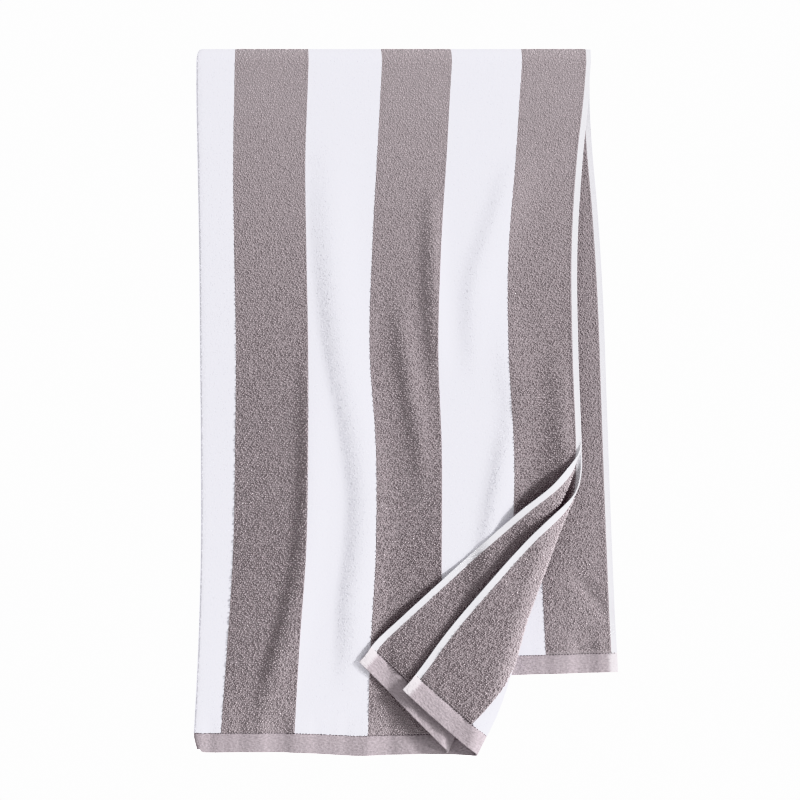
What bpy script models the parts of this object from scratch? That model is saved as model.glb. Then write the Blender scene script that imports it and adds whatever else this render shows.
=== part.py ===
"""Beach towel: one length of striped terry, folded in half lengthwise and hung over a rail.

The front hangs lower than the back, and both lower corners of the front are turned up towards the viewer.
Metres, +Z up. The origin is at the inside top of the crosswise fold, where the towel hangs on its rail.
The viewer stands on the -Y side, and the lengthwise fold is on the left, at -X.
"""

import math
from collections import namedtuple

import bmesh
import bpy
import numpy as np

MM = 0.001

# The cut cloth
CLOTH_WIDTH = 0.910
CLOTH_LENGTH = 1.515
CLOTH_THICKNESS = 0.003
HALF_WIDTH = CLOTH_WIDTH / 2

# How it is folded and hung
LAYER_PITCH = 0.0055  # from the middle of one layer to the middle of the next
RAIL_ROOM = 0.020  # width inside the crosswise fold, for the rail
FRONT_DROP = 0.7795  # from the middle of the rail down to the front hem
FOLD_RADIUS = LAYER_PITCH / 2
FOLD_TURN = FOLD_RADIUS * math.pi / 2  # cloth from the lengthwise fold's edge to where its half-turn ends
LOOP_RADIUS = RAIL_ROOM / 2 + CLOTH_THICKNESS + (LAYER_PITCH - CLOTH_THICKNESS) / 2
LOOP_TURN = LOOP_RADIUS * math.pi
RAIL_HEIGHT = -RAIL_ROOM / 2
TOP_EDGE = RAIL_HEIGHT + LOOP_RADIUS + LAYER_PITCH / 2 + CLOTH_THICKNESS / 2

# Where the lines between the stripes lie on the half towel, from its lengthwise fold to its selvedge
STRIPE_PITCH = 0.0825
SELVEDGE_WIDTH = 0.0075
STRIPE_LINES = (
    FOLD_TURN,
    *(STRIPE_PITCH * (count + 0.5) for count in range(5)),
    HALF_WIDTH - SELVEDGE_WIDTH,
    HALF_WIDTH,
)

# How the front hangs, in mm: a row for each height, given below the top edge, with the place across of the
# lengthwise fold, of each line between two stripes, and of the selvedge's two sides.
FrontRow = namedtuple("FrontRow", "below fold line1 line2 line3 line4 line5 selvedge edge")
FRONT_ROWS = (
    FrontRow(3, -222, -177, -94, -11, 67, 147, 217, 222),
    FrontRow(116, -221, -179, -97, -16, 63, 141, 210, 217),
    FrontRow(229, -219, -178, -96, -22, 56, 132, 203, 210),
    FrontRow(342, -218, -176, -94, -25, 53, 132, 204, 211),
    FrontRow(455, -217, -177, -94, -18, 57, 138, 208, 215),
    FrontRow(568, -217, -179, -96, -18, 57, 137, 210, 217),
    FrontRow(681, -220, -186, -104, -24, 56, 136, 210, 217),
    FrontRow(789, -224, -194, -110, -27, 56, 136, 210, 217),
)

# How the back hangs, in mm: its selvedge swings out to the right, so that a strip of it shows.
BackRow = namedtuple("BackRow", "below edge")
BACK_ROWS = (
    BackRow(3, 222),
    BackRow(60, 221),
    BackRow(116, 224),
    BackRow(173, 229),
    BackRow(286, 236),
    BackRow(400, 239),
    BackRow(512, 244),
    BackRow(625, 249),
    BackRow(710, 255),
)
BACK_GATHER = 0.975  # how wide the back hangs, as a share of its flat width
BACK_TILT = 0.03  # how steeply the back hem climbs towards the selvedge
BACK_TILT_REACH = 0.25

# The soft ridges that stand out towards the viewer, in mm. Each one's crest runs through the rows: how far
# below the top edge, how far across, and how high the ridge is there. Its left and right sides are each as
# wide as given.
CrestRow = namedtuple("CrestRow", "below across rise")
Ridge = namedtuple("Ridge", "left_side right_side crest")
FRONT_RIDGES = {
    "long_ridge": Ridge(12, 26, (
        CrestRow(90, -76, 0), CrestRow(200, -78, 6), CrestRow(300, -68, 10), CrestRow(400, -51, 11),
        CrestRow(480, -38, 11), CrestRow(570, -39, 10), CrestRow(650, -50, 8), CrestRow(730, -54, 0),
    )),
    "hem_ridge": Ridge(12, 22, (
        CrestRow(330, -96, 0), CrestRow(430, -95, 6), CrestRow(545, -102, 7), CrestRow(610, -115, 8),
        CrestRow(670, -129, 8), CrestRow(735, -143, 4), CrestRow(790, -150, 0),
    )),
    "shoulder_ridge": Ridge(11, 22, (
        CrestRow(110, 150, 0), CrestRow(150, 130, 4), CrestRow(200, 112, 6), CrestRow(260, 94, 6),
        CrestRow(320, 92, 4), CrestRow(390, 96, 0),
    )),
    "upper_crease": Ridge(10, 12, (
        CrestRow(150, 46, 0), CrestRow(200, 46, 4), CrestRow(270, 47, 5), CrestRow(330, 50, 4),
        CrestRow(390, 54, 0),
    )),
    "middle_crease": Ridge(10, 12, (
        CrestRow(270, 8, 0), CrestRow(330, 13, 4), CrestRow(390, 22, 5), CrestRow(440, 30, 4),
        CrestRow(510, 38, 0),
    )),
    "corner_ridge": Ridge(12, 24, (
        CrestRow(280, 124, 0), CrestRow(350, 130, 4), CrestRow(420, 137, 5), CrestRow(470, 128, 5),
        CrestRow(530, 117, 4), CrestRow(590, 106, 2), CrestRow(640, 98, 0),
    )),
}
BACK_RIDGES = {
    "back_left_ridge": Ridge(20, 20, (
        CrestRow(120, -110, 0), CrestRow(300, -118, 5), CrestRow(520, -112, 6), CrestRow(690, -120, 3),
    )),
    "back_middle_ridge": Ridge(18, 18, (
        CrestRow(80, 20, 0), CrestRow(260, 30, 6), CrestRow(450, 22, 5), CrestRow(640, 34, 0),
    )),
    "back_right_ridge": Ridge(16, 20, (
        CrestRow(200, 150, 0), CrestRow(380, 142, 4), CrestRow(560, 156, 5), CrestRow(700, 160, 2),
    )),
}
INNER_RIDGE_SHARE = 0.6  # the ridges of the inner layer are this much lower

# The turned-up corners, in mm. Each fold's edge runs from the selvedge down to the hem, and the radius is
# that of the roll in it. The inner layer's corner wraps round the outer one and lies in front of it.
Corner = namedtuple("Corner", "top_across top_below foot_across foot_below radius")
OUTER_CORNER = Corner(209.6, 469, 67.9, 798, 5.0)
INNER_CORNER = Corner(210.4, 502.5, 96.6, 802.5, 10.5)
INNER_SHIFT_START, INNER_SHIFT_END = 430 * MM, 800 * MM
INNER_SHIFT = 6 * MM  # how far the inner layer's corner has slid out past the outer one
INNER_SAG = 4 * MM
CORNER_LIFT = 0.011  # how far the turned-up corners stand off at most, beyond their rolls
CORNER_LIFT_REACH = 0.045
CORNER_LIFT_LENGTH = 0.250

# The rounded end of the front hem at the lengthwise fold
HEM_END_RISE = 0.017
HEM_END_WIDTH = 0.010
HEM_END_HEIGHT = 0.045

# How finely the cloth is cut into faces
COLUMNS = 23  # across each half
FRONT_STEPS = 30
LOOP_STEPS = 8
BACK_STEPS = 12
FOLD_STEPS = 4
ROLL_STEPS = 5
CUT_SNAP = 0.0012  # a cut runs through the corners that lie this near it, so that no sliver is left

TERRY_GREY = (0.31, 0.27, 0.29, 1.0)
TERRY_ROUGHNESS = 0.95


def clear_scene():
    """Remove every object, so that the towel is alone."""
    for item in list(bpy.data.objects):
        bpy.data.objects.remove(item, do_unlink=True)


def ease(value, start, end):
    """Go smoothly from 0 at start to 1 at end."""
    share = np.clip((value - start) / (end - start), 0.0, 1.0)
    return share * share * (3.0 - 2.0 * share)


def curve_through(knots, values, at):
    """Read a smooth curve through the values at the knots. Each place may have its own row of values."""
    knots = np.asarray(knots, float)
    values = np.broadcast_to(np.asarray(values, float), (len(at), len(knots)))
    slopes = np.gradient(values, knots, axis=1)
    at = np.clip(at, knots[0], knots[-1])
    left = np.clip(np.searchsorted(knots, at) - 1, 0, len(knots) - 2)
    width = knots[left + 1] - knots[left]
    share = (at - knots[left]) / width
    row = np.arange(len(at))
    low, high = values[row, left], values[row, left + 1]
    low_slope, high_slope = slopes[row, left] * width, slopes[row, left + 1] * width
    turn = low_slope * (1 - share) - high_slope * share
    return low + (high - low) * share**2 * (3 - 2 * share) + turn * share * (1 - share)


def column(rows, name):
    """One named column of a table in mm, in metres."""
    return np.array([getattr(row, name) for row in rows]) * MM


def ridge_rise(ridges, across, below):
    """How far all the ridges together stand out at each place."""
    total = np.zeros(len(across))
    for ridge in ridges.values():
        heights = column(ridge.crest, "below")
        crest = curve_through(heights, column(ridge.crest, "across"), below)
        rise = np.maximum(curve_through(heights, column(ridge.crest, "rise"), below), 0.0)
        side = np.where(across < crest, ridge.left_side, ridge.right_side) * MM
        total += rise * np.exp(-(((across - crest) / side) ** 2))
    return total


def fold_frame(corner):
    """The top point, the downward direction and the outward direction of a corner's fold, across and up."""
    top = np.array([corner.top_across * MM, TOP_EDGE - corner.top_below * MM])
    foot = np.array([corner.foot_across * MM, TOP_EDGE - corner.foot_below * MM])
    down = (foot - top) / np.linalg.norm(foot - top)
    outward = np.array([-down[1], down[0]])
    roll_start = top - outward * (corner.radius * MM + CLOTH_THICKNESS / 2)
    return roll_start, down, outward


def roll_up(corner, across, height):
    """Roll what lies beyond a corner's fold over towards the viewer.

    Returns its new places across and up, how far it comes out, and how far round the roll it has gone.
    """
    start, _, outward = fold_frame(corner)
    radius = corner.radius * MM
    beyond = (across - start[0]) * outward[0] + (height - start[1]) * outward[1]
    angle = np.clip(beyond / radius, 0.0, math.pi)
    flat_on = np.where(beyond > radius * math.pi, radius * math.pi - beyond, 0.0)
    reach = np.where(beyond > 0, radius * np.sin(angle) + flat_on, beyond)
    across = across + (reach - beyond) * outward[0]
    height = height + (reach - beyond) * outward[1]
    turned = (1.0 - np.cos(angle)) / 2.0
    return across, height, 2.0 * radius * turned, turned


def corner_lift(across, height):
    """How far the turned-up corners stand off the front, beyond the radius of their rolls."""
    start, down, outward = fold_frame(OUTER_CORNER)
    run = (across - start[0]) * down[0] + (height - start[1]) * down[1]
    inward = -((across - start[0]) * outward[0] + (height - start[1]) * outward[1])
    hump = np.sin(np.clip(run / CORNER_LIFT_LENGTH, 0.0, 1.0) * math.pi)
    return CORNER_LIFT * hump * ease(inward, 0.0, CORNER_LIFT_REACH)


def hang_front(half, along, outer):
    """Place the front. Returns where its points lie across and up, and how far they stand out."""
    height = RAIL_HEIGHT - (FRONT_DROP - along)
    below = TOP_EDGE - height
    names = FrontRow._fields[1:]
    lines = np.stack([curve_through(column(FRONT_ROWS, "below"), column(FRONT_ROWS, name), below) for name in names])
    lines[0] += CLOTH_THICKNESS / 2 + FOLD_RADIUS
    across = curve_through(STRIPE_LINES, lines.T, half)
    end = np.exp(-half / HEM_END_WIDTH) * (1.0 - ease(along, 0.0, HEM_END_HEIGHT))
    height = height + HEM_END_RISE * end
    slid = ease(below, INNER_SHIFT_START, INNER_SHIFT_END) * ease(half, HALF_WIDTH / 2, HALF_WIDTH)
    inner_across = across + INNER_SHIFT * slid
    inner_height = height - INNER_SAG * slid
    outer_parts = roll_up(OUTER_CORNER, across, height)
    inner_parts = roll_up(INNER_CORNER, inner_across, inner_height)
    across, height, out, turned = (np.where(outer > 0, a, b) for a, b in zip(outer_parts, inner_parts))
    share = 1.0 - (1.0 - INNER_RIDGE_SHARE) * (1.0 - outer) / 2.0 * (1.0 - turned)
    rise = ridge_rise(FRONT_RIDGES, across, TOP_EDGE - height) * share
    return across, height, out + corner_lift(across, height) * turned + rise


def hang_back(half, along, outer):
    """Place the back. Returns where its points lie across and up, and how far they stand out behind."""
    drop = along - FRONT_DROP - LOOP_TURN
    height = RAIL_HEIGHT - drop
    edge = curve_through(column(BACK_ROWS, "below"), column(BACK_ROWS, "edge"), TOP_EDGE - height)
    across = edge - (HALF_WIDTH - half) * BACK_GATHER
    height = height - BACK_TILT * (HALF_WIDTH - half) * ease(drop, 0.0, BACK_TILT_REACH)
    share = 1.0 - (1.0 - INNER_RIDGE_SHARE) * (1.0 - outer) / 2.0
    return across, height, ridge_rise(BACK_RIDGES, across, TOP_EDGE - height) * share


def hang(across_cloth, along_cloth):
    """Carry points of the flat cloth to where they hang.

    across_cloth runs from selvedge to selvedge, 0 at the lengthwise fold. along_cloth runs from the front
    hem over the rail to the back hem. The half with across_cloth above 0 is the outer layer.
    """
    fold_angle = np.clip(across_cloth / FOLD_RADIUS, -math.pi / 2, math.pi / 2)
    half = np.maximum(np.abs(across_cloth), FOLD_TURN)
    outer = np.sin(fold_angle)
    layer = FOLD_RADIUS * outer
    turn = np.clip((along_cloth - FRONT_DROP) / LOOP_RADIUS, 0.0, math.pi)
    front_across, front_height, front_out = hang_front(half, np.minimum(along_cloth, FRONT_DROP), outer)
    back_across, back_height, back_out = hang_back(half, np.maximum(along_cloth, FRONT_DROP + LOOP_TURN), outer)
    passed = ease(turn, 0.0, math.pi)
    radius = LOOP_RADIUS + layer
    x = front_across * (1.0 - passed) + back_across * passed - FOLD_RADIUS * np.cos(fold_angle)
    y = -radius * np.cos(turn) - front_out + back_out
    straight = np.where(turn < math.pi / 2, front_height, back_height)
    z = straight + radius * np.sin(turn)
    return np.stack([x, y, z], axis=1)


def cut_lines():
    """The places across and along the flat cloth where its faces are cut."""
    spread = [FOLD_TURN + (HALF_WIDTH - FOLD_TURN) * step / COLUMNS for step in range(COLUMNS)]
    turn = [FOLD_TURN * step / (FOLD_STEPS / 2) for step in range(FOLD_STEPS // 2)]
    halves = turn + spread
    across = sorted({side * place for place in halves for side in (-1, 1)})
    front = [FRONT_DROP * step / FRONT_STEPS for step in range(1, FRONT_STEPS)]
    loop = [FRONT_DROP + LOOP_TURN * step / LOOP_STEPS for step in range(LOOP_STEPS + 1)]
    back_start = FRONT_DROP + LOOP_TURN
    back = [back_start + (CLOTH_LENGTH - back_start) * step / BACK_STEPS for step in range(1, BACK_STEPS)]
    return across, front + loop + back


def roll_lines(corner, side):
    """Lines on the flat cloth along a corner's fold, as a point and a direction across it for each."""
    lines = np.array([[getattr(row, name) for name in FrontRow._fields[1:]] for row in FRONT_ROWS]) * MM
    foot_half = np.interp(corner.foot_across * MM, lines[-1], STRIPE_LINES)
    hem_below = FRONT_DROP + (TOP_EDGE - RAIL_HEIGHT)
    top_along = hem_below - corner.top_below * MM
    down = np.array([foot_half - HALF_WIDTH, -top_along])
    down /= np.linalg.norm(down)
    outward = np.array([-down[1], down[0]])
    radius = corner.radius * MM
    for step in range(-1, ROLL_STEPS + 2):
        reach = radius * (math.pi * step / ROLL_STEPS - 1.0) - CLOTH_THICKNESS / 2
        point = np.array([HALF_WIDTH, top_along]) + outward * reach
        yield (side * point[0], point[1], 0.0), (side * outward[0], outward[1], 0.0)


def flat_cloth():
    """The cut cloth lying flat, with x across from its middle line and y along from the front hem."""
    flat = bmesh.new()
    bmesh.ops.create_grid(flat, x_segments=1, y_segments=1, size=0.5)
    for vert in flat.verts:
        vert.co = (vert.co.x * CLOTH_WIDTH, (vert.co.y + 0.5) * CLOTH_LENGTH, 0.0)
    across, along = cut_lines()
    cuts = [((place, 0.0, 0.0), (1.0, 0.0, 0.0)) for place in across]
    cuts += [((0.0, place, 0.0), (0.0, 1.0, 0.0)) for place in along]
    cuts += list(roll_lines(OUTER_CORNER, 1)) + list(roll_lines(INNER_CORNER, -1))
    for point, direction in cuts:
        everything = flat.verts[:] + flat.edges[:] + flat.faces[:]
        bmesh.ops.bisect_plane(flat, geom=everything, dist=CUT_SNAP, plane_co=point, plane_no=direction)
    bmesh.ops.triangulate(flat, faces=flat.faces[:])
    return flat


def terry_material():
    """Matt striped terry, in the grey of its darker stripes."""
    material = bpy.data.materials.new("terry_cloth")
    material.use_nodes = True
    shader = material.node_tree.nodes["Principled BSDF"]
    shader.inputs["Base Color"].default_value = TERRY_GREY
    shader.inputs["Roughness"].default_value = TERRY_ROUGHNESS
    shader.inputs["Metallic"].default_value = 0.0
    return material


def make_towel(collection):
    """The towel: the flat cloth, hung and given its thickness."""
    flat = flat_cloth()
    places = np.array([vert.co for vert in flat.verts])
    for vert, point in zip(flat.verts, hang(places[:, 0], places[:, 1])):
        vert.co = point
    mesh = bpy.data.meshes.new("towel")
    flat.to_mesh(mesh)
    flat.free()
    mesh.shade_smooth()
    mesh.materials.append(terry_material())
    towel = bpy.data.objects.new("towel", mesh)
    collection.objects.link(towel)
    solidify = towel.modifiers.new("thickness", "SOLIDIFY")
    solidify.thickness = CLOTH_THICKNESS
    solidify.offset = 0.0
    return towel


def main():
    """Build the towel in its own collection."""
    clear_scene()
    collection = bpy.data.collections.new("beach_towel")
    bpy.context.scene.collection.children.link(collection)
    make_towel(collection)


main()
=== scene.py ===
"""Dress the beach towel: one length of striped cotton terry, folded lengthwise and hung over a rail.

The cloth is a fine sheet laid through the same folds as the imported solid. Its loops are small pieces of their
own on every side that shows, its hems are flat-woven and stitched, and its selvedges are narrow and white.
"""

import logging
import math
from collections.abc import Sequence
from dataclasses import dataclass
from enum import Enum

import bmesh
import bpy
import numpy as np
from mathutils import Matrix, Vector


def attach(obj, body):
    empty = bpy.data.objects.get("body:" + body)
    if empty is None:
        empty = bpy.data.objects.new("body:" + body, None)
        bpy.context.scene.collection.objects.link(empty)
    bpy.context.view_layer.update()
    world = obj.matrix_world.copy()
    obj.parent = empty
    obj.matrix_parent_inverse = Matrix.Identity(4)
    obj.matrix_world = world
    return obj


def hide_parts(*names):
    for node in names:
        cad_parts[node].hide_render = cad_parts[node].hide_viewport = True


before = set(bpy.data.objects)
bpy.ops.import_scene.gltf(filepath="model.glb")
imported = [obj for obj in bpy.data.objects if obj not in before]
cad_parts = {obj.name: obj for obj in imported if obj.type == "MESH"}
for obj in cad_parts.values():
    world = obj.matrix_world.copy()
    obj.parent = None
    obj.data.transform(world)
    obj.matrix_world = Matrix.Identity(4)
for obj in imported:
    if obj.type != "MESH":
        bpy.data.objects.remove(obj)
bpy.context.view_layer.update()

MM = 0.001
BODY = "root"
SOLID = "towel"
LOG = logging.getLogger("beach_towel")


class Side(Enum):
    """The two sides of the cloth: the one folded to the outside, and the one folded in."""

    FACE = 1
    REVERSE = -1


class Patch(Enum):
    """The weaves of the cloth, in the order of its material slots."""

    TERRY = 0
    HEM = 1
    SELVEDGE = 2


def ease(value: np.ndarray, start: float, end: float) -> np.ndarray:
    """Go smoothly from 0 at start to 1 at end.

    Args:
        value: where to read it.
        start: where it leaves 0.
        end: where it reaches 1.

    Returns:
        The share reached at each value.
    """
    share = np.clip((value - start) / (end - start), 0.0, 1.0)
    return share * share * (3.0 - 2.0 * share)


def curve_through(knots: Sequence[float], values: np.ndarray, at: np.ndarray) -> np.ndarray:
    """Read a smooth curve that runs through given values.

    Args:
        knots: where the values stand, in rising order.
        values: one value for each knot, or a row of them for each place read.
        at: the places to read.

    Returns:
        The curve's value at each place, held level past its ends.
    """
    knots = np.asarray(knots, float)
    values = np.broadcast_to(np.asarray(values, float), (len(at), len(knots)))
    slopes = np.gradient(values, knots, axis=1)
    at = np.clip(at, knots[0], knots[-1])
    left = np.clip(np.searchsorted(knots, at) - 1, 0, len(knots) - 2)
    width = knots[left + 1] - knots[left]
    share = (at - knots[left]) / width
    row = np.arange(len(at))
    low, high = values[row, left], values[row, left + 1]
    low_slope, high_slope = slopes[row, left] * width, slopes[row, left + 1] * width
    turn = low_slope * (1 - share) - high_slope * share
    return low + (high - low) * share**2 * (3 - 2 * share) + turn * share * (1 - share)


@dataclass(frozen=True)
class Cloth:
    """The towel as it was woven and cut, lying flat. Metres."""

    width: float = 0.910
    length: float = 1.517
    stripe_pitch: float = 0.0825
    selvedge: float = 0.0068
    hem: float = 0.0225
    ground: float = 0.0020  # thickness of the woven ground that the loops stand on
    hem_share: float = 0.9  # the hem's thickness, as a share of the ground's
    groove_share: float = 0.35  # along the hem's seam
    selvedge_share: float = 0.7
    pile: float = 0.0019  # how far the loops stand above the ground

    @property
    def half(self) -> float:
        """Half the width, from the lengthwise fold to a selvedge."""
        return self.width / 2

    def stripe(self, across: np.ndarray) -> np.ndarray:
        """Tell whether each place across lies in a white stripe, 0, or a grey one, 1."""
        return np.floor(np.abs(across) / self.stripe_pitch + 0.5) % 2

    def patch(self, across: np.ndarray, along: np.ndarray) -> np.ndarray:
        """Tell which weave each place has.

        Args:
            across: signed distance from the middle line.
            along: distance from the front hem's edge.

        Returns:
            The value of the Patch at each place.
        """
        in_hem = (along < self.hem) | (along > self.length - self.hem)
        in_selvedge = np.abs(across) > self.half - self.selvedge
        weave = np.where(in_selvedge, Patch.SELVEDGE.value, Patch.TERRY.value)
        return np.where(in_hem, Patch.HEM.value, weave)


@dataclass(frozen=True)
class Ridge:
    """A soft ridge in the hanging cloth. Its crest's rows give below, across and rise, in mm."""

    left_side: float
    right_side: float
    crest: tuple[tuple[float, float, float], ...]
    creased: bool = False  # whether its left side rises from a crease, left_side away from the crest
    crease_power: float = 1.3  # above 1, the cloth leaves the crease slowly

    def rise(self, across: np.ndarray, below: np.ndarray) -> np.ndarray:
        """Tell how far the ridge stands out.

        Args:
            across: places across.
            below: how far those places lie below the top edge.

        Returns:
            How far the ridge stands out at each place.
        """
        heights, crest_across, crest_rise = np.array(self.crest).T * MM
        crest = curve_through(heights, crest_across, below)
        rise = np.maximum(curve_through(heights, crest_rise, below), 0.0)
        side = np.where(across < crest, self.left_side, self.right_side) * MM
        shape = np.exp(-(((across - crest) / side) ** 2))
        if self.creased:
            climbed = np.clip(1.0 + (across - crest) / side, 0.0, 1.0)
            risen = np.sin(climbed * math.pi / 2) ** self.crease_power
            shape = np.where(across < crest, risen, shape)
        return rise * shape


@dataclass(frozen=True)
class TurnedCorner:
    """A front corner that is turned up along a slanting fold, from the selvedge down to the hem. In mm.

    The rows of flap give, for places down the fold: the radius of its roll, how far the flap's free edge is
    lifted, and how far the flap is drawn on past the roll.
    """

    top_across: float
    top_below: float
    foot_across: float
    foot_below: float
    flap: tuple[tuple[float, float, float, float], ...]
    thickness: float = 3.0
    least_width: float = 12.0
    lift_span: float = 2.0  # how many flap widths past the roll the lift is full
    bulge: float = 0.0  # how far the fold bulges outwards
    bulge_span: tuple[float, float] = (0.5, 1.02)  # where it does, as shares of the fold's length
    bulge_reach: float = 30.0
    slide: float = 0.0  # how far the flap is drawn down along the fold, as a share of its reach

    @property
    def radius(self) -> float:
        """The usual radius of the roll."""
        return min(row[1] for row in self.flap)

    def frame(self, top_edge: float) -> tuple[np.ndarray, np.ndarray, np.ndarray]:
        """Work out where the fold runs.

        Args:
            top_edge: height of the towel's top edge.

        Returns:
            The fold's top, the direction down it, and the direction outwards across it, each as a pair
            across and up.
        """
        top = np.array([self.top_across * MM, top_edge - self.top_below * MM])
        foot = np.array([self.foot_across * MM, top_edge - self.foot_below * MM])
        down = (foot - top) / np.linalg.norm(foot - top)
        return top, down, np.array([-down[1], down[0]])

    def roll(self, across: np.ndarray, height: np.ndarray, top_edge: float) -> tuple[np.ndarray, ...]:
        """Roll what lies beyond the fold over towards the viewer.

        Args:
            across: places across, before the corner is turned up.
            height: their heights.
            top_edge: height of the towel's top edge.

        Returns:
            The new places across, the new heights, how far the places come out towards the viewer, and
            how far round the roll they have gone, from 0 to 1.
        """
        top, down, outward = self.frame(top_edge)
        run = (across - top[0]) * down[0] + (height - top[1]) * down[1]
        past = (across - top[0]) * outward[0] + (height - top[1]) * outward[1]
        rows = np.array(self.flap) * MM
        radius, raised, pulled = (curve_through(rows[:, 0], column, run) for column in rows[:, 1:].T)
        beyond = past + radius + self.thickness / 2 * MM
        length = math.hypot(self.foot_across - self.top_across, self.foot_below - self.top_below) * MM
        hump = (run / length - self.bulge_span[0]) / (self.bulge_span[1] - self.bulge_span[0])
        near = np.exp(-((beyond / (self.bulge_reach * MM)) ** 2))
        bulge = self.bulge * MM * np.sin(np.clip(hump, 0.0, 1.0) * math.pi) * near
        angle = np.clip(beyond / radius, 0.0, math.pi)
        turned = (1.0 - np.cos(angle)) / 2.0
        flat_on = np.minimum(radius * math.pi - beyond, 0.0) - pulled * turned
        reach = np.where(beyond > 0, radius * np.sin(angle) + flat_on, beyond)
        width = np.maximum(run * abs(down[0] / down[1]), self.least_width * MM)
        lift = raised * ease((beyond - reach - radius) / width, 0.0, self.lift_span)
        slid = self.slide * np.maximum(beyond - radius * math.pi, 0.0)
        return (
            across + (reach - beyond + bulge) * outward[0] + slid * down[0],
            height + (reach - beyond + bulge) * outward[1] + slid * down[1],
            2.0 * radius * turned + lift * turned,
            turned,
        )


@dataclass(frozen=True)
class Hanging:
    """How the cloth is folded and hung: where each place of the flat cloth comes to lie.

    The rows of front_rows give, in mm, the height below the top edge, and there the place across of the
    lengthwise fold, of each line between two stripes, and of the selvedge's two sides. Those of back_rows
    give the height below the top edge and the place across of the selvedge's edge.
    """

    cloth: Cloth
    layer_pitch: float = 0.0055
    rail_room: float = 0.020
    solid_thickness: float = 0.003
    front_drop: float = 0.7805
    front_rows: tuple[tuple[float, ...], ...] = (
        (3, -222, -177, -93, -10, 69.5, 148.5, 221.5, 227),
        (60, -222, -178, -95, -13, 66, 144.5, 217, 222.5),
        (116, -221, -179, -97, -16, 63, 141, 210.7, 217),
        (229, -219, -178, -96, -22, 56, 132, 203.7, 210),
        (342, -218, -176, -94, -25, 53, 132, 204.7, 211),
        (455, -217, -177, -94, -18, 57, 138, 208.7, 215),
        (568, -217, -179, -96, -18, 57, 137, 210, 217),
        (681, -220, -186, -104, -24, 56, 136, 210, 217),
        (789, -225.5, -194, -110, -27, 56, 136, 210, 217),
    )
    back_rows: tuple[tuple[float, float], ...] = (
        (3, 227), (60, 226.5), (116, 229.5), (173, 234.6), (286, 241.8),
        (400, 245.9), (512, 249.8), (625, 254.4), (710, 258.5),
    )
    back_gather: float = 0.975  # its width, as a share of the flat half towel's
    back_tilt: float = 0.03  # how much its rows slope down to the lengthwise fold
    back_tilt_reach: float = 0.25
    front_ridges: tuple[Ridge, ...] = (
        Ridge(28, 24, (
            (90, -68, 0), (200, -66, 6), (308, -57, 8), (376, -48, 9), (410, -41, 9),
            (512, -27, 9), (580, -31, 9.3), (625, -37, 9), (681, -39, 7.5), (735, -44, 0),
        ), creased=True),
        Ridge(10, 22, (
            (330, -94, 0), (430, -93, 5), (545, -96, 6), (610, -106, 6),
            (670, -121, 7), (735, -141, 4), (790, -150, 0),
        )),
        Ridge(15, 24, (
            (110, 150, 0), (150, 134, 4.5), (200, 118, 6.3), (260, 98, 6.3), (320, 94, 5.5), (390, 98, 0),
        )),
        Ridge(10, 12, ((150, 46, 0), (200, 46, 4), (270, 47, 6), (330, 50, 5), (390, 54, 0))),
        Ridge(10, 12, ((270, 8, 0), (330, 13, 4), (390, 22, 5), (440, 30, 4), (510, 38, 0))),
        Ridge(14, 24, (
            (280, 124, 0), (350, 130, 4), (420, 137, 5), (470, 128, 8),
            (530, 117, 8), (590, 106, 5), (640, 98, 0),
        )),
        Ridge(14, 10, ((330, 188, 0), (390, 191, 3), (430, 193, 4), (470, 195, 3), (500, 197, 0))),
    )
    back_ridges: tuple[Ridge, ...] = (
        Ridge(20, 20, ((120, -110, 0), (300, -118, 5), (520, -112, 6), (690, -120, 3))),
        Ridge(18, 18, ((80, 20, 0), (260, 30, 6), (450, 22, 5), (640, 34, 0))),
        Ridge(16, 20, ((200, 150, 0), (380, 142, 4), (560, 156, 5), (700, 160, 2))),
        Ridge(9, 11, ((585, 200, 0), (612, 220, 4), (640, 240, 4), (668, 256, 0))),
    )
    ridge_scale: float = 0.8
    inner_ridge_share: float = 0.6  # of their rise, on the inner layer
    outer_corner: TurnedCorner = TurnedCorner(209.6, 469, 67.9, 798, (
        (0, 5, 0, 0), (35, 6.5, 6, -2.3), (75, 5.3, 4, 0), (105, 5, -6, 1.1), (145, 5, -7, 2.7),
        (180, 5, -2, 4.1), (240, 5, 1.5, 6), (272, 5, -2, 6.2), (297, 5.5, -7, 2.8), (320, 6, -7, 4.8),
        (338, 7, -6, 7), (360, 8, -2, 8),
    ), slide=0.0365)
    inner_corner: TurnedCorner = TurnedCorner(210.4, 502.5, 99.5, 804.5, (
        (0, 12, 0, 0), (25, 12, 2, 6), (56, 11.5, 3, 9), (100, 10.5, 3, 9), (141, 10.5, 3, 8.6),
        (217, 10.5, 2, 5.2), (242, 10.7, 0, 2.6), (271, 11.5, -2, 1.6), (298, 13, -3, 5), (325, 14, -3, 8.5),
    ), bulge=5.0, slide=-0.0525)
    inner_shift: float = 0.006  # how far the front's inner layer slips outwards, low down by its selvedge
    inner_sag: float = 0.009  # and down
    inner_shift_span: tuple[float, float] = (0.430, 0.800)  # below the top edge
    hem_end_inset: float = 0.0045  # how far the front hem's corner is rounded off at the lengthwise fold
    hem_end_power: float = 1.5
    hem_end_rise: float = 0.009  # and how far the hem rises there
    hem_end_width: float = 0.006
    hem_end_height: float = 0.030
    puckers: tuple[tuple[float, float, float], ...] = (  # of the hems: height, length and shift, in mm
        (0.9, 63, 12), (0.7, 41, 5), (0.35, 17, 3),
    )
    pucker_fade: float = 0.030  # above the seam
    hem_sag: tuple[tuple[float, float], ...] = (  # of the front: place across the flat half and drop, in mm
        (0, 0), (130, 0), (165, 1.8), (190, 3.2), (215, 2.8), (250, 1.6), (310, 0),
    )
    hem_sag_fade: float = 0.090

    @property
    def fold_radius(self) -> float:
        """Radius of the lengthwise fold, to the middle of the cloth."""
        return self.layer_pitch / 2

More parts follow.
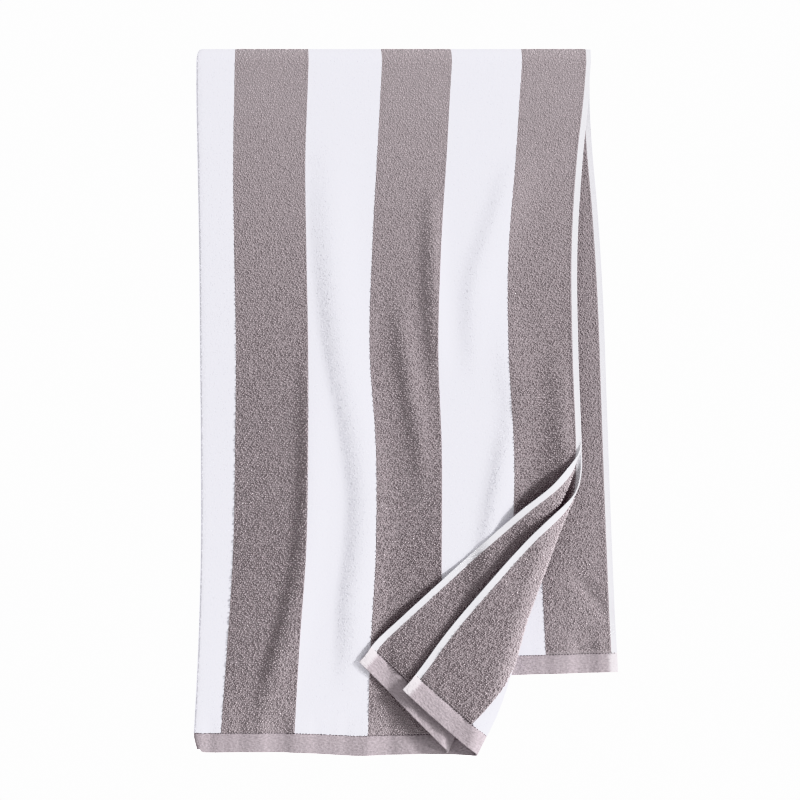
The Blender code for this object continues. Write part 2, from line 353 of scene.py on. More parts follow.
    @property
    def fold_turn(self) -> float:
        """Cloth from the lengthwise fold's edge to where its half-turn ends."""
        return self.fold_radius * math.pi / 2

    @property
    def loop_radius(self) -> float:
        """Radius of the crosswise fold, to midway between the two layers."""
        return self.rail_room / 2 + self.solid_thickness / 2 + self.layer_pitch / 2

    @property
    def loop_turn(self) -> float:
        """Cloth that goes over the rail."""
        return self.loop_radius * math.pi

    @property
    def rail_height(self) -> float:
        """Height of the middle of the rail."""
        return -self.rail_room / 2

    @property
    def top_edge(self) -> float:
        """Height of the towel's top edge."""
        return self.rail_height + self.loop_radius + (self.layer_pitch + self.solid_thickness) / 2

    @property
    def stripe_lines(self) -> tuple[float, ...]:
        """Where the columns of the front rows lie on the flat half towel."""
        lines = (self.cloth.stripe_pitch * (count + 0.5) for count in range(5))
        return (self.fold_turn, *lines, self.cloth.half - self.cloth.selvedge, self.cloth.half)

    def _ridges(self, ridges: Sequence[Ridge], across: np.ndarray, height: np.ndarray) -> np.ndarray:
        """Add up how far ridges stand out at places across and up."""
        return self.ridge_scale * sum(ridge.rise(across, self.top_edge - height) for ridge in ridges)

    def _puckers(self, across: np.ndarray, from_edge: np.ndarray) -> np.ndarray:
        """Tell how far the hems' soft puckers stand out.

        Args:
            across: places across.
            from_edge: distance from the hem's edge.

        Returns:
            How far out the cloth is there.
        """
        waves = sum(
            rise * MM * np.sin((across / MM - shift) * 2.0 * math.pi / long)
            for rise, long, shift in self.puckers
        )
        return waves * (1.0 - ease(from_edge, self.cloth.hem, self.cloth.hem + self.pucker_fade))

    def _front(self, half: np.ndarray, along: np.ndarray, outer: np.ndarray) -> tuple[np.ndarray, ...]:
        """Place the front.

        Args:
            half: distance from the lengthwise fold.
            along: distance from the front hem's edge.
            outer: 1 on the outer layer, -1 on the inner one, between them in the fold.

        Returns:
            Places across, heights, how far they stand out, and how far round a corner's roll they lie.
        """
        height = self.rail_height - (self.front_drop - along)
        below = self.top_edge - height
        rows = np.array(self.front_rows) * MM
        lines = np.stack([curve_through(rows[:, 0], line, below) for line in rows[:, 1:].T])
        lines[0] += self.solid_thickness / 2 + self.fold_radius
        across = curve_through(self.stripe_lines, lines.T, half)
        end = np.exp(-half / self.hem_end_width) * (1.0 - ease(along, 0.0, self.hem_end_height))
        places, drops = np.array(self.hem_sag).T * MM
        sag = curve_through(places, drops, half) * (1.0 - ease(along, 0.0, self.hem_sag_fade))
        height = height + self.hem_end_rise * end - sag
        corner = np.maximum(1.0 - along / self.cloth.hem, 0.0) ** self.hem_end_power
        across = across + self.hem_end_inset * corner * np.exp((self.fold_turn - half) / self.hem_end_width)
        slid = ease(below, *self.inner_shift_span) * ease(half, self.cloth.half / 2, self.cloth.half)
        outer_parts = self.outer_corner.roll(across, height, self.top_edge)
        inner_parts = self.inner_corner.roll(
            across + self.inner_shift * slid, height - self.inner_sag * slid, self.top_edge
        )
        across, height, out, turned = (np.where(outer > 0, a, b) for a, b in zip(outer_parts, inner_parts))
        share = 1.0 - (1.0 - self.inner_ridge_share) * (1.0 - outer) / 2.0 * (1.0 - turned)
        rise = self._ridges(self.front_ridges, across, height) * share + self._puckers(across, along)
        return across, height, out + rise, turned

    def _back(self, half: np.ndarray, along: np.ndarray, outer: np.ndarray) -> tuple[np.ndarray, ...]:
        """Place the back, as _front places the front."""
        drop = along - self.front_drop - self.loop_turn
        height = self.rail_height - drop
        rows = np.array(self.back_rows) * MM
        edge = curve_through(rows[:, 0], rows[:, 1], self.top_edge - height)
        across = edge - (self.cloth.half - half) * self.back_gather
        height = height - self.back_tilt * (self.cloth.half - half) * ease(drop, 0.0, self.back_tilt_reach)
        share = 1.0 - (1.0 - self.inner_ridge_share) * (1.0 - outer) / 2.0
        rise = self._ridges(self.back_ridges, across, height) * share
        return across, height, rise + self._puckers(across, self.cloth.length - along)

    def place(self, across: np.ndarray, along: np.ndarray) -> tuple[np.ndarray, np.ndarray]:
        """Carry places of the flat cloth to where they hang.

        Args:
            across: signed distance from the lengthwise fold, above 0 on the outer layer.
            along: distance from the front hem's edge.

        Returns:
            The points, and how far round a turned-up corner's roll each one lies.
        """
        angle = np.clip(across / self.fold_radius, -math.pi / 2, math.pi / 2)
        half = np.maximum(np.abs(across), self.fold_turn)
        outer = np.sin(angle)
        turn = np.clip((along - self.front_drop) / self.loop_radius, 0.0, math.pi)
        front = self._front(half, np.minimum(along, self.front_drop), outer)
        back = self._back(half, np.maximum(along, self.front_drop + self.loop_turn), outer)
        passed = ease(turn, 0.0, math.pi)
        radius = self.loop_radius + self.fold_radius * outer
        x = front[0] * (1.0 - passed) + back[0] * passed - self.fold_radius * np.cos(angle)
        y = -radius * np.cos(turn) - front[2] + back[2]
        z = np.where(turn < math.pi / 2, front[1], back[1]) + radius * np.sin(turn)
        return np.stack([x, y, z], axis=1), front[3]

    def frames(self, across: np.ndarray, along: np.ndarray) -> tuple[np.ndarray, ...]:
        """Work out how the hanging cloth faces.

        Args:
            across: signed distance from the lengthwise fold.
            along: distance from the front hem's edge.

        Returns:
            The points, the unit directions across the cloth, along it and out of its face, and how far
            round a turned-up corner's roll each point lies.
        """
        step = 0.4 * MM
        points, turned = self.place(across, along)
        run = self.place(across + step, along)[0] - self.place(across - step, along)[0]
        climb = self.place(across, along + step)[0] - self.place(across, along - step)[0]
        out = np.cross(run, climb)
        out /= np.linalg.norm(out, axis=1)[:, None]
        run /= np.linalg.norm(run, axis=1)[:, None]
        return points, run, np.cross(out, run), out, turned


def linear(hex_colour: str, brightness: float = 1.0) -> tuple[float, float, float, float]:
    """Turn an sRGB hex colour to linear.

    Args:
        hex_colour: such as "#9C9295".
        brightness: what to multiply it by.

    Returns:
        Linear red, green, blue and alpha.
    """
    parts = (int(hex_colour[at:at + 2], 16) / 255 for at in (1, 3, 5))
    light = (part / 12.92 if part <= 0.04045 else ((part + 0.055) / 1.055) ** 2.4 for part in parts)
    return (*(part * brightness for part in light), 1.0)


def feed(tree: bpy.types.NodeTree, node: bpy.types.Node, inputs: dict) -> None:
    """Set a node's inputs.

    Args:
        tree: the node's tree.
        node: the node.
        inputs: for an input's name or number, its value, or the output that feeds it.
    """
    for name, value in inputs.items():
        if isinstance(value, bpy.types.NodeSocket):
            tree.links.new(value, node.inputs[name])
        else:
            node.inputs[name].default_value = value


def add_node(tree: bpy.types.NodeTree, kind: str, inputs: dict | None = None, **settings) -> bpy.types.Node:
    """Add a node with its settings, values and links.

    Args:
        tree: the material's or world's node tree.
        kind: the node's type, such as "ShaderNodeMath".
        inputs: what feed takes.
        settings: the node's own properties.

    Returns:
        The new node.
    """
    node = tree.nodes.new(kind)
    for name, value in settings.items():
        setattr(node, name, value)
    feed(tree, node, inputs or {})
    return node


@dataclass(frozen=True)
class CottonFinish:
    """What all the towel's cotton shares: undyed white yarn, grey yarn, and a dry, matt surface."""

    cloth: Cloth
    name: str
    grey: str = "#BAAFB3"
    white: str = "#EAE9F1"
    roughness: float = 0.95
    sheen: float = 0.15
    sheen_roughness: float = 0.6
    specular: float = 0.2

    def weave(self, tree: bpy.types.NodeTree) -> dict:
        """Work out this cotton's own colour and relief.

        Args:
            tree: the material's node tree.

        Returns:
            What feeds the shader.
        """
        raise NotImplementedError

    def material(self) -> bpy.types.Material:
        """Make the material.

        Returns:
            The finished material.
        """
        material = bpy.data.materials.new(self.name)
        material.use_nodes = True
        tree = material.node_tree
        feed(tree, tree.nodes["Principled BSDF"], {
            "Roughness": self.roughness,
            "Sheen Weight": self.sheen,
            "Sheen Roughness": self.sheen_roughness,
            "Specular IOR Level": self.specular,
            **self.weave(tree),
        })
        return material

    def flat_place(self, tree: bpy.types.NodeTree) -> bpy.types.NodeSocket:
        """Read the place on the flat cloth, in mm, from the cloth's own UV map.

        Args:
            tree: the material's node tree.

        Returns:
            The place: across from one selvedge, and along from the front hem.
        """
        uv = add_node(tree, "ShaderNodeUVMap", uv_map="cloth")
        in_mm = {0: uv.outputs["UV"], 1: (self.cloth.length / MM,) * 3}
        return add_node(tree, "ShaderNodeVectorMath", in_mm, operation="MULTIPLY").outputs[0]

    def from_middle(self, tree: bpy.types.NodeTree, place: bpy.types.NodeSocket) -> bpy.types.NodeSocket:
        """Measure the distance from the cloth's middle line.

        Args:
            tree: the material's node tree.
            place: the place on the flat cloth, in mm.

        Returns:
            The distance across, in mm.
        """
        across = add_node(tree, "ShaderNodeSeparateXYZ", {0: place}).outputs["X"]
        less_middle = {0: across, 1: self.cloth.half / MM}
        centred = add_node(tree, "ShaderNodeMath", less_middle, operation="SUBTRACT").outputs[0]
        return add_node(tree, "ShaderNodeMath", {0: centred}, operation="ABSOLUTE").outputs[0]

    def stripes(self, tree: bpy.types.NodeTree, place: bpy.types.NodeSocket) -> bpy.types.NodeSocket:
        """Mark the grey stripes, counted outwards from the white one in the middle.

        Args:
            tree: the material's node tree.
            place: the place on the flat cloth, in mm.

        Returns:
            1 in a grey stripe and 0 in a white one.
        """
        count = {0: self.from_middle(tree, place), 1: MM / self.cloth.stripe_pitch, 2: 0.5}
        counted = add_node(tree, "ShaderNodeMath", count, operation="MULTIPLY_ADD").outputs[0]
        whole = add_node(tree, "ShaderNodeMath", {0: counted}, operation="FLOOR").outputs[0]
        return add_node(tree, "ShaderNodeMath", {0: whole, 1: 2.0}, operation="MODULO").outputs[0]


@dataclass(frozen=True)
class TerryGround(CottonFinish):
    """Cotton terry between its loops: the same stripes, the grey ones with deeper hollows and painted shade on
    their colour.
    """

    loop_pitch: float = 2.4  # mm
    depth: float = 0.5  # mm
    white_depth: float = 0.3  # as a share of the grey stripes' depth
    # painted shade: the grey between the loops is darkened to this share, standing for the shadow in the
    # hollows
    painted_shade: float = 0.6

    def weave(self, tree: bpy.types.NodeTree) -> dict:
        """Colour the stripes, paint shade on the grey between the loops, and sink the hollows, as the base
        class asks.
        """
        place = self.flat_place(tree)
        in_grey = self.stripes(tree, place)
        # the grey carries painted shade, for the shadow deep between the loops; the white is left as it is
        yarns = {"Factor": in_grey, "A": linear(self.white), "B": linear(self.grey, self.painted_shade)}
        colour = add_node(tree, "ShaderNodeMix", yarns, data_type="RGBA").outputs["Result"]
        share = {0: in_grey, 1: 1 - self.white_depth, 2: self.white_depth}
        deep = add_node(tree, "ShaderNodeMath", share, operation="MULTIPLY_ADD").outputs[0]
        cells = {"Vector": place, "Scale": 1 / self.loop_pitch}
        loops = add_node(tree, "ShaderNodeTexVoronoi", cells, feature="SMOOTH_F1").outputs["Distance"]
        hollows = add_node(tree, "ShaderNodeMath", {0: loops, 1: deep}, operation="MULTIPLY").outputs[0]
        relief = {"Height": hollows, "Strength": 1.0, "Distance": self.depth * MM}
        bump = add_node(tree, "ShaderNodeBump", relief, invert=True)
        return {"Base Color": colour, "Normal": bump.outputs["Normal"]}


@dataclass(frozen=True)
class TerryLoops(CottonFinish):
    """Loops of cotton yarn: each is of one yarn, grey or white, and catches the light in its own way."""

    grey_spread: float = 0.06  # how much the grey loops differ in brightness, either way
    white_spread: float = 0.015

    def weave(self, tree: bpy.types.NodeTree) -> dict:
        """Give each loop its yarn's colour, a little lighter or darker, as the base class asks."""
        place = self.flat_place(tree)
        chance = add_node(tree, "ShaderNodeTexWhiteNoise", {"Vector": place}).outputs["Value"]
        stripes = {"Factor": self.stripes(tree, place)}
        yarns = {"A": (self.white, self.white_spread), "B": (self.grey, self.grey_spread)}
        for name, (yarn, spread) in yarns.items():
            shades = {"Factor": chance, "A": linear(yarn, 1 - spread), "B": linear(yarn, 1 + spread)}
            stripes[name] = add_node(tree, "ShaderNodeMix", shades, data_type="RGBA").outputs["Result"]
        return {"Base Color": add_node(tree, "ShaderNodeMix", stripes, data_type="RGBA").outputs["Result"]}


@dataclass(frozen=True)
class FlatWovenHem(CottonFinish):
    """Flat-woven cotton in grey weft: smooth, a little lighter than the terry, with fine uneven ribs."""

    thread: float = 1.9  # mm, drawn coarser than the real 0.4 mm so that it shows
    across_share: float = 0.55  # of the pattern's pace along, so that the ribs run along the hem
    detail: float = 2.0
    noise_span: tuple[float, float] = (0.3, 0.7)  # between which the noise mostly lies
    unevenness: float = 0.16
    depth: float = 0.9  # mm
    hem_grey: str = "#A2989D"
    end_grey: str = "#D2CCD0"  # at both ends, where the white selvedge yarns run through
    end_start: float = 12.0  # mm from the selvedge's edge, where that begins
    end_full: float = 7.0  # and where it is full

    def weave(self, tree: bpy.types.NodeTree) -> dict:
        """Colour and rib the hem, and lighten its ends, as the base class asks."""
        place = self.flat_place(tree)
        edge = self.cloth.half / MM
        ends = {"Value": self.from_middle(tree, place),
                "From Min": edge - self.end_start, "From Max": edge - self.end_full}
        at_end = add_node(tree, "ShaderNodeMapRange", ends).outputs[0]
        yarns = {"Factor": at_end, "A": linear(self.hem_grey), "B": linear(self.end_grey)}
        colour = add_node(tree, "ShaderNodeMix", yarns, data_type="RGBA").outputs["Result"]
        pace = {0: place, 1: (self.across_share, 1.0, 1.0)}
        drawn = add_node(tree, "ShaderNodeVectorMath", pace, operation="MULTIPLY").outputs[0]
        noise = {"Vector": drawn, "Scale": 1 / self.thread, "Detail": self.detail}
        threads = add_node(tree, "ShaderNodeTexNoise", noise).outputs["Fac"]
        share = {"Value": threads, "From Min": self.noise_span[0], "From Max": self.noise_span[1],
                 "To Min": 1 - self.unevenness, "To Max": 1 + self.unevenness}
        mottle = {"Factor": 1.0, "A": colour, "B": add_node(tree, "ShaderNodeMapRange", share).outputs[0]}
        varied = add_node(tree, "ShaderNodeMix", mottle, data_type="RGBA", blend_type="MULTIPLY")
        relief = {"Height": threads, "Strength": 1.0, "Distance": self.depth * MM}
        bump = add_node(tree, "ShaderNodeBump", relief)
        return {"Base Color": varied.outputs["Result"], "Normal": bump.outputs["Normal"]}


@dataclass(frozen=True)
class SewingThread(CottonFinish):
    """Spun sewing thread, a darker grey than the hem it holds, and darker still to carry painted shade along
    the seam's groove.
    """

    # partly the thread's own grey, partly painted shade: it also stands for the shadow in the groove along the
    # hem's seam
    thread_and_groove_shade: str = "#51494E"

    def weave(self, tree: bpy.types.NodeTree) -> dict:
        """Give the thread its one colour, dark with painted shade, as the base class asks."""
        return {"Base Color": linear(self.thread_and_groove_shade)}


@dataclass(frozen=True)
class WovenSelvedge(CottonFinish):
    """Flat-woven white cotton edge: smooth and bright, with fine ribs along it."""

    thread: float = 0.9  # mm, drawn coarser than the real 0.4 mm so that it shows
    wave: float = 0.314  # length of the wave node's waves at scale 1
    distortion: float = 0.4
    rib_dark: str = "#D6D5D9"
    rib_light: str = "#E2E1E6"
    depth: float = 0.2  # mm
    strength: float = 0.5

    def weave(self, tree: bpy.types.NodeTree) -> dict:
        """Rib the edge, as the base class asks."""
        waves = {"Vector": self.flat_place(tree), "Scale": self.wave / self.thread,
                 "Distortion": self.distortion}
        ribs = add_node(tree, "ShaderNodeTexWave", waves, bands_direction="X").outputs["Fac"]
        yarns = {"Factor": ribs, "A": linear(self.rib_dark), "B": linear(self.rib_light)}
        colour = add_node(tree, "ShaderNodeMix", yarns, data_type="RGBA").outputs["Result"]
        relief = {"Height": ribs, "Strength": self.strength, "Distance": self.depth * MM}
        bump = add_node(tree, "ShaderNodeBump", relief)
        return {"Base Color": colour, "Normal": bump.outputs["Normal"]}


def write_cloth_map(mesh: bpy.types.Mesh, across: np.ndarray, along: np.ndarray, cloth: Cloth) -> None:
    """Give a mesh the cloth's own UV map, in shares of the cloth's length.

    Args:
        mesh: the mesh.
        across: each vertex's signed distance from the middle line.
        along: each vertex's distance from the front hem's edge.
        cloth: the flat cloth.
    """
    layer = mesh.uv_layers.new(name="cloth")
    corner = np.empty(len(mesh.loops), np.int32)
    mesh.loops.foreach_get("vertex_index", corner)
    flat = np.stack([across + cloth.half, along], axis=1) / cloth.length
    layer.data.foreach_set("uv", flat[corner].astype(np.float32).ravel())


def piece_of_many(
    name: str, corners: np.ndarray, faces: np.ndarray, flat: np.ndarray, finish: CottonFinish
) -> bpy.types.Object:
    """Make a piece from many small solids at once.

    Args:
        name: the piece's name.
        corners: for each solid, its corners.
        faces: three corner numbers for each face, for all the solids alike or for each one.
        flat: each solid's place across and along the flat cloth.
        finish: what it is made of.

    Returns:
        The finished piece.
    """
    count, corner_count = corners.shape[:2]
    triangles = (faces + corner_count * np.arange(count)[:, None, None]).reshape(-1, 3)
    mesh = bpy.data.meshes.new(name)
    mesh.vertices.add(count * corner_count)
    mesh.vertices.foreach_set("co", corners.astype(np.float32).ravel())
    mesh.loops.add(triangles.size)
    mesh.loops.foreach_set("vertex_index", triangles.astype(np.int32).ravel())
    mesh.polygons.add(len(triangles))
    mesh.polygons.foreach_set("loop_start", np.arange(0, triangles.size, 3, dtype=np.int32))
    mesh.update(calc_edges=True)
    mesh.validate()
    mesh.shade_smooth()
    write_cloth_map(mesh, *np.repeat(flat, corner_count, axis=1), finish.cloth)
    mesh.materials.append(finish.material())
    piece = bpy.data.objects.new(name, mesh)
    bpy.context.scene.collection.objects.link(piece)
    return piece


def read_flat(items: bpy.types.bpy_prop_collection, name: str) -> np.ndarray:
    """Read the places across and along of a flat mesh's vertices ("co") or faces ("center")."""
    places = np.empty(len(items) * 3, np.float32)
    items.foreach_get(name, places)
    return places.reshape(-1, 3)[:, :2].astype(float).T


def spread(start: float, end: float, steps: int) -> list[float]:
    """List evenly spread places from start up to, but not at, end."""
    return [start + (end - start) * step / steps for step in range(steps)]


@dataclass
class TerrySheet:
    """The woven cloth itself, without its loops: a fine sheet through all the folds."""

    hanging: Hanging
    columns: int = 84  # across each half
    front_steps: int = 124
    loop_steps: int = 14
    back_steps: int = 90
    fold_steps: int = 3
    roll_steps: int = 5
    roll_margin: int = 2  # steps cut beyond a roll on both its sides
    cut_reach: float = 0.0006  # a cut runs through the vertices that are nearer than this
    weave_step: float = 0.0012  # over which the cloth thins to its hem or selvedge
    seam_step: float = 0.0006  # over which the hem thins to the groove along its seam
    rim: float = 0.0006  # over which the cloth's outer edges turn
    finishes: tuple[CottonFinish, ...] = ()  # in Patch's order

    def _lines(self) -> tuple[np.ndarray, np.ndarray]:
        """List where the flat cloth is cut into columns and rows."""
        cloth, hanging = self.hanging.cloth, self.hanging
        seam = cloth.half - cloth.selvedge
        half = spread(0.0, hanging.fold_turn, self.fold_steps)
        half += spread(hanging.fold_turn, seam - self.weave_step, self.columns)
        half += [seam - self.weave_step, seam, (seam + cloth.half) / 2, cloth.half - self.rim, cloth.half]
        across = sorted({side * place for place in half for side in (-1, 1)})
        loop_start, loop_end = hanging.front_drop, hanging.front_drop + hanging.loop_turn
        along = [0.0, self.rim, cloth.hem / 3, cloth.hem * 2 / 3, cloth.hem - self.seam_step, cloth.hem]
        along += spread(cloth.hem + self.weave_step, loop_start, self.front_steps)
        along += spread(loop_start, loop_end, self.loop_steps)
        along += spread(loop_end, cloth.length - cloth.hem - self.weave_step, self.back_steps)
        along += [cloth.length - cloth.hem - self.weave_step]
        along += [cloth.length - cloth.hem, cloth.length - cloth.hem + self.seam_step]
        along += [cloth.length - cloth.hem * share / 3 for share in (2, 1)]
        along += [cloth.length - self.rim, cloth.length]
        return np.array(across), np.array(along)

    def _roll_cuts(self, corner: TurnedCorner, side: int) -> list[list[np.ndarray]]:
        """List lines on the flat cloth along a corner's fold.

        Args:
            corner: the corner.
            side: 1 on the outer layer, -1 on the inner one.

        Returns:
            For each line a point on it and the direction across it.
        """
        hanging = self.hanging
        lines = np.array(hanging.front_rows[-1][1:]) * MM
        foot_half = np.interp(corner.foot_across * MM, lines, hanging.stripe_lines)
        top_along = hanging.front_drop + hanging.top_edge - hanging.rail_height - corner.top_below * MM
        down = np.array([foot_half - hanging.cloth.half, -top_along])
        down /= np.linalg.norm(down)
        outward = np.array([-down[1], down[0]])
        cuts = []
        for step in range(-self.roll_margin, self.roll_steps + self.roll_margin + 1):
            reach = corner.radius * MM * (math.pi * step / self.roll_steps - 1.0)
            point = np.array([hanging.cloth.half, top_along]) + outward * reach
            cuts.append([np.array([side * pair[0], pair[1], 0.0]) for pair in (point, outward)])
        return cuts

    def _flat(self) -> bpy.types.Object:
        """Make the flat cloth: a grid with its columns and rows at the lines, cut along the corners' folds.

        Returns:
            The flat sheet, without thickness.
        """
        across, along = self._lines()
        columns, rows = len(across) - 1, len(along) - 1
        bpy.ops.object.select_all(action="DESELECT")
        bpy.ops.mesh.primitive_grid_add(x_subdivisions=columns, y_subdivisions=rows, size=1.0)
        sheet = bpy.context.object
        sheet.name = sheet.data.name = "terry_sheet"
        mesh = bmesh.new()
        mesh.from_mesh(sheet.data)
        for vert in mesh.verts:
            column, row = round((vert.co.x + 0.5) * columns), round((vert.co.y + 0.5) * rows)
            vert.co = (across[column], along[row], 0.0)
        low = self.hanging.front_drop / 2
        for corner, side in ((self.hanging.outer_corner, 1), (self.hanging.inner_corner, -1)):
            for point, direction in self._roll_cuts(corner, side):
                near = [face for face in mesh.faces if face.calc_center_median().y < low]
                parts = list({part for face in near for part in (face, *face.edges, *face.verts)})
                bmesh.ops.bisect_plane(
                    mesh, geom=parts, dist=self.cut_reach, plane_co=point, plane_no=direction
                )
        bmesh.ops.triangulate(mesh, faces=[face for face in mesh.faces if len(face.verts) > 4])
        mesh.to_mesh(sheet.data)
        mesh.free()
        return sheet

    def build(self) -> bpy.types.Object:
        """Build the sheet.

        Returns:
            The finished piece.
        """
        cloth = self.hanging.cloth
        sheet = self._flat()
        mesh = sheet.data
        across, along = read_flat(mesh.vertices, "co")
        while mesh.uv_layers:
            mesh.uv_layers.remove(mesh.uv_layers[0])
        write_cloth_map(mesh, across, along, cloth)
        weaves = cloth.patch(*read_flat(mesh.polygons, "center"))
        mesh.polygons.foreach_set("material_index", weaves.astype(np.int32))
        for finish in self.finishes:
            mesh.materials.append(finish.material())
        points, _ = self.hanging.place(across, along)
        mesh.vertices.foreach_set("co", points.astype(np.float32).ravel())
        mesh.update()
        mesh.shade_smooth()
        from_edge = np.minimum(along, cloth.length - along)
        self._thicken(sheet, cloth.patch(across, along), np.abs(from_edge - cloth.hem) < self.seam_step / 4)
        return sheet

    def _thicken(self, sheet: bpy.types.Object, patch: np.ndarray, at_seam: np.ndarray) -> None:
        """Give the sheet its thickness, less in the hems and selvedges and least along the hems' seams.

        Args:
            sheet: the piece.
            patch: the Patch value of each vertex.
            at_seam: whether each vertex lies on a hem's seam.
        """
        cloth = self.hanging.cloth
        group = sheet.vertex_groups.new(name="thickness")
        shares = {Patch.TERRY: 1.0, Patch.HEM: cloth.hem_share, Patch.SELVEDGE: cloth.selvedge_share}
        for kind, share in shares.items():
            group.add(np.flatnonzero(patch == kind.value).tolist(), share, "REPLACE")
        group.add(np.flatnonzero(at_seam).tolist(), cloth.groove_share, "REPLACE")
        solidify = sheet.modifiers.new("thickness", "SOLIDIFY")
        solidify.thickness = cloth.ground
        solidify.offset = 0.0
        solidify.vertex_group = group.name
        bpy.context.view_layer.objects.active = sheet
        bpy.ops.object.modifier_apply(modifier=solidify.name)


@dataclass
class Pile:
    """The loops that stand on one stretch of the cloth, on one side of it. Sizes in mm."""

    hanging: Hanging
    name: str
    side: Side
    across: tuple[float, float]
    along: tuple[float, float]
    finish: CottonFinish
    turned: tuple[float, float] = (0.0, 1.0)  # how far round a corner's roll, from and to
    pitch: float = 2.4
    length: float = 3.0
    breadth: float = 1.5
    crest: float = 0.45  # the level part of a loop's back, as a share of its length
    sink: float = 0.5
    lean: float = 0.3  # how far their crests lean sideways, as a share of the breadth
    jitter: float = 0.36  # how far they stray from their rows, as a share of the pitch
    uneven: float = 0.13  # how much the loops differ in size, either way
    tidy_reach: float = 2.0  # within this of a stripe's or the selvedge's line, loops lie along the line
    tidy_turn: float = 0.2  # but for this share of a quarter-turn, either way
    edge_gap: float = 1.0  # between the outermost loops' middles and the selvedge
    seam_gap: float = 0.8  # and the hems
    stripe_gap: float = 0.6  # and a stripe's line
    white_height: float = 0.06  # the white loops lie lower and broader, as shares of the grey ones
    white_breadth: float = 1.6
    white_size: float = 1.35
    white_share: float = 0.6  # how many of them are kept
    loosening: tuple[tuple[float, float], ...] = (  # along the cloth, and the loops' height there as a share
        (25, 0.65), (90, 0.95), (220, 1.0), (400, 0.8), (600, 0.5), (750, 0.3), (850, 0.35), (1100, 0.5),
        (1450, 0.65),
    )
    seed: int = 7

    def _roots(self, rng: np.random.Generator) -> tuple[np.ndarray, np.ndarray]:
        """Scatter the loops over their stretch of the terry.

        Args:
            rng: where the chances come from.

        Returns:
            Each loop's place across and along the flat cloth.
        """
        cloth, gap = self.hanging.cloth, self.seam_gap * MM
        edge, pitch = cloth.half - cloth.selvedge - self.edge_gap * MM, self.pitch * MM
        low, high = max(self.across[0] * MM, -edge), min(self.across[1] * MM, edge)
        start = max(self.along[0] * MM, cloth.hem + gap)
        end = min(self.along[1] * MM, cloth.length - cloth.hem - gap)
        columns, rows = np.meshgrid(np.arange(low, high, pitch), np.arange(start, end, pitch))
        stagger = np.where(np.arange(len(rows)) % 2 > 0, pitch / 2, 0.0)[:, None]
        loose = rng.uniform(-self.jitter, self.jitter, (2, *rows.shape)) * pitch
        columns = columns + stagger + loose[0]
        line = (np.floor(np.abs(columns) / cloth.stripe_pitch) + 0.5) * cloth.stripe_pitch
        past = np.abs(columns) - line
        past = np.where(past < 0, -1.0, 1.0) * np.maximum(np.abs(past), self.stripe_gap * MM)
        return (
            np.clip(np.sign(columns) * (line + past), -edge, edge).ravel(),
            np.clip(rows + loose[1], cloth.hem + gap, cloth.length - cloth.hem - gap).ravel(),
        )

    def _headings(self, rng: np.random.Generator, across: np.ndarray, along: np.ndarray) -> np.ndarray:
        """Turn each loop its own way, but those beside a line or a wide-gapped seam nearly along it.

        Args:
            rng: where the chances come from.
            across: the loops' places across.
            along: the loops' places along.

        Returns:
            The angle from across to each loop's length.
        """
        cloth = self.hanging.cloth
        pitch = cloth.stripe_pitch
        to_stripe = np.abs(np.abs(across) % pitch - pitch / 2)
        to_edge = np.abs(np.abs(across) - (cloth.half - cloth.selvedge)) - self.edge_gap * MM
        to_seam = np.minimum(along, cloth.length - along) - cloth.hem - self.seam_gap * MM
        beside = np.minimum(to_stripe, to_edge) < self.tidy_reach * MM
        at_seam = to_seam < self.tidy_reach * MM * (self.seam_gap > self.edge_gap)
        chance = rng.uniform(-1.0, 1.0, len(across)) * np.where(beside | at_seam, self.tidy_turn, 1.0)
        return math.pi / 2 * (np.where(at_seam, 0.0, 1.0) + chance)

    def build(self) -> bpy.types.Object:
        """Build the loops as one piece.

        Returns:
            The finished piece.
        """
        rng = np.random.default_rng(self.seed)
        across, along = self._roots(rng)
        points, run, climb, out, turned = self.hanging.frames(across, along)
        white = self.hanging.cloth.stripe(across) == 0
        kept = (turned >= self.turned[0]) & (turned <= self.turned[1])
        kept &= ~white | (rng.uniform(0.0, 1.0, len(across)) < self.white_share)
        parts = (across, along, points, run, climb, out, white[:, None])
        across, along, points, run, climb, out, white = (part[kept] for part in parts)
        one_each = (len(points), 1)
        heading = self._headings(rng, across, along)[:, None]
        scale = rng.uniform(1 - self.uneven, 1 + self.uneven, one_each) * MM
        scale = scale * np.where(white, self.white_size, 1.0)
        lean = rng.uniform(-self.lean, self.lean, one_each) * self.breadth
        long_way = run * np.cos(heading) + climb * np.sin(heading)
        wide_way = np.cross(out, long_way)
        up = out * self.side.value
        root = points + up * self.hanging.cloth.ground / 2
        loose = np.interp(along, *(np.array(self.loosening) * (MM, 1.0)).T)[:, None]
        height = self.hanging.cloth.pile / MM * np.where(white, self.white_height, loose)
        breadth = self.breadth * np.where(white, self.white_breadth, 1.0)
        end, side = long_way * self.length / 2 * scale, wide_way * breadth / 2 * scale
        foot = root - up * self.sink * MM
        crest = root + up * height * scale + wide_way * lean * scale
        level = end * self.crest
        corners = (foot - end, foot + end, foot - side, foot + side, crest - level, crest + level)
        faces = np.array([
            (0, 2, 4), (0, 4, 3), (1, 5, 2), (1, 3, 5), (2, 5, 4), (3, 4, 5), (0, 3, 2), (1, 2, 3),
        ])
        if self.side is Side.FACE:
            faces = faces[:, ::-1]
        flat = np.stack([across, along])
        return piece_of_many(self.name, np.stack(corners, axis=1), faces, flat, self.finish)


